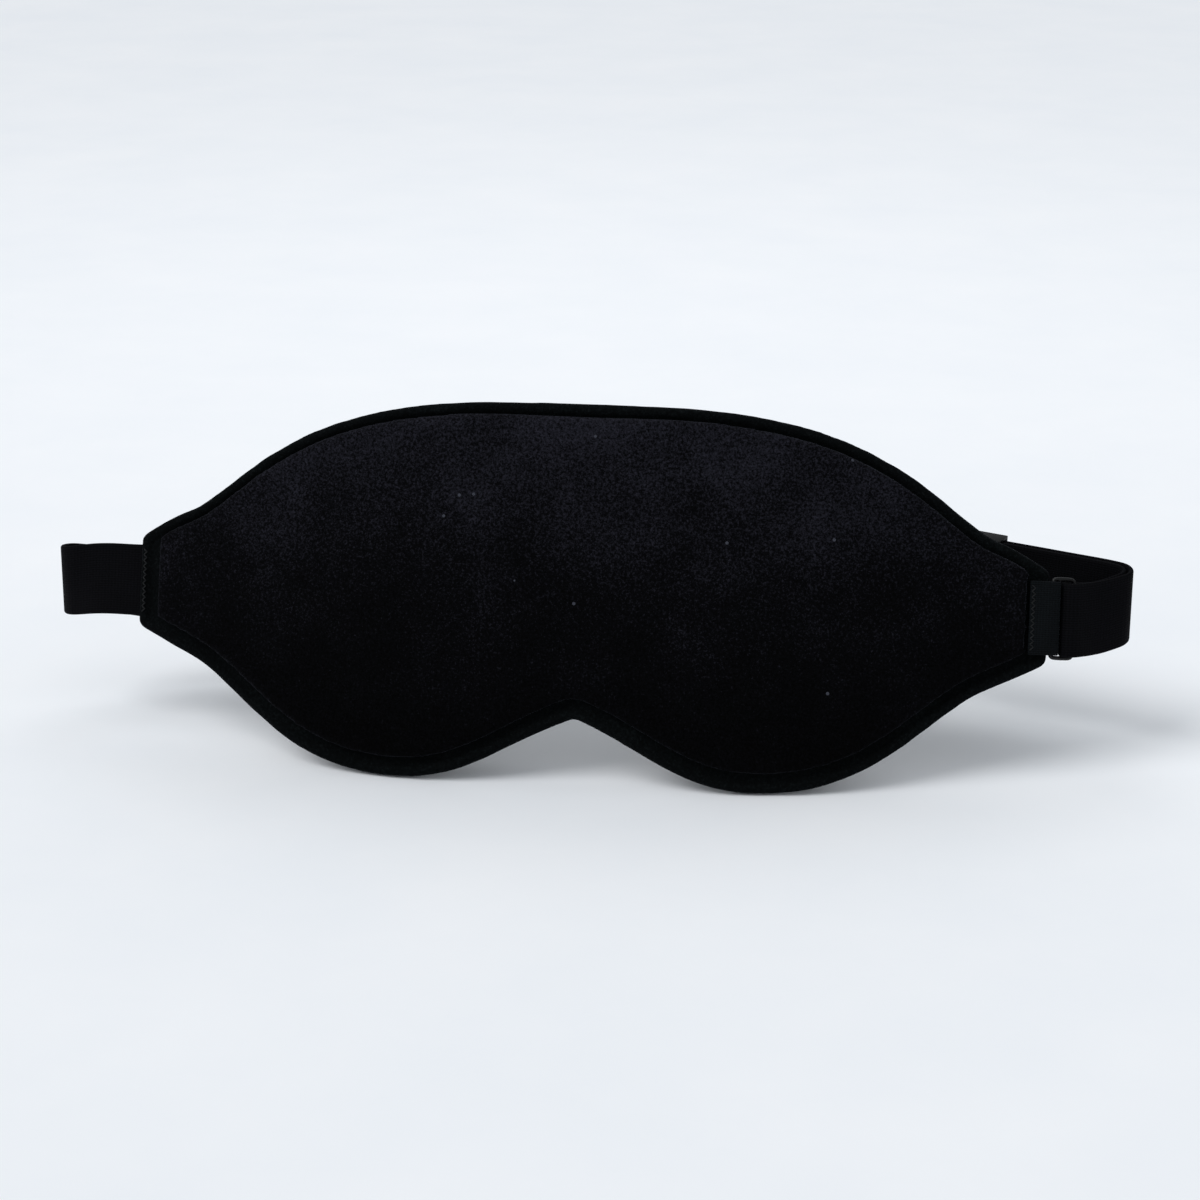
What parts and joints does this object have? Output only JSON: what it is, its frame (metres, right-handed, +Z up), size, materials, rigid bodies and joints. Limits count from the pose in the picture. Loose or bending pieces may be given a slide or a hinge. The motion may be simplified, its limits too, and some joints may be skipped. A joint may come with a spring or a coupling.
{
  "type": "contoured sleep mask",
  "caption": "Padded blackout mask for both eyes with moulded eye hollows, nose flap and an adjustable elastic head strap, standing on its lobes and strap",
  "frame": {"origin": "middle of the footprint of the bounding box, on the surface that the mask stands on", "axes": "+X from the wearer's right end to the ringed end of the mask, +Y away from the mask's front, +Z up"},
  "size_m": [0.288, 0.0818, 0.0931],
  "materials": {
    "velour": "near-black brushed velour over foam, fine fuzz, bluish-grey sheen",
    "lining": "matte black knitted lining over moulded foam",
    "binding_tape": "black folded knit tape, rounded edge",
    "webbing": "black woven webbing with fine ribs",
    "elastic": "black knitted elastic with fine lengthwise ribs",
    "thread": "black sewing thread, slightly shiny",
    "ring_plastic": "glossy black moulded plastic",
    "adjuster_plastic": "satin black moulded plastic"
  },
  "bodies": {
    "mask": {"front_pad": "velour", "flange_panel": "lining", "edge_binding": "binding_tape", "back_panel": "lining", "left_eye_ring": "lining", "right_eye_ring": "lining", "left_end_tab": "webbing", "right_end_tab": "webbing", "left_bartack": "thread", "right_bartack": "thread", "elastic_left_root": "elastic", "elastic_right_root": "elastic"},
    "ring": {"end_ring": "ring_plastic"},
    "strap": {"elastic_back_run": "elastic", "elastic_tail": "elastic"},
    "adjuster": {"tri_glide": "adjuster_plastic"},
    "nose": {"nose_flap": "lining"}
  },
  "joints": [
    {"name": "strap_swing", "type": "hinge", "parent": "mask", "child": "strap", "pos_m": [0, -0.00584, 0.03927], "axis": [1, 0, 0], "range_deg": [0, 50]},
    {"name": "adjuster_slide", "type": "slide", "parent": "strap", "child": "adjuster", "axis": [-0.9135, 0.4067, 0], "range_m": [-0.016, 0.013]},
    {"name": "ring_swivel", "type": "hinge", "parent": "mask", "child": "ring", "pos_m": [0.12128, -0.00999, 0.04079], "axis": [0, 0.3453, 0.9385], "range_deg": [-6, 6]},
    {"name": "nose_flap_bend", "type": "hinge", "parent": "mask", "child": "nose", "pos_m": [0.00083, -0.02189, 0.03025], "axis": [1, 0, 0], "range_deg": [0, 50], "stiffness_Nm_per_rad": 0.004}
  ]
}
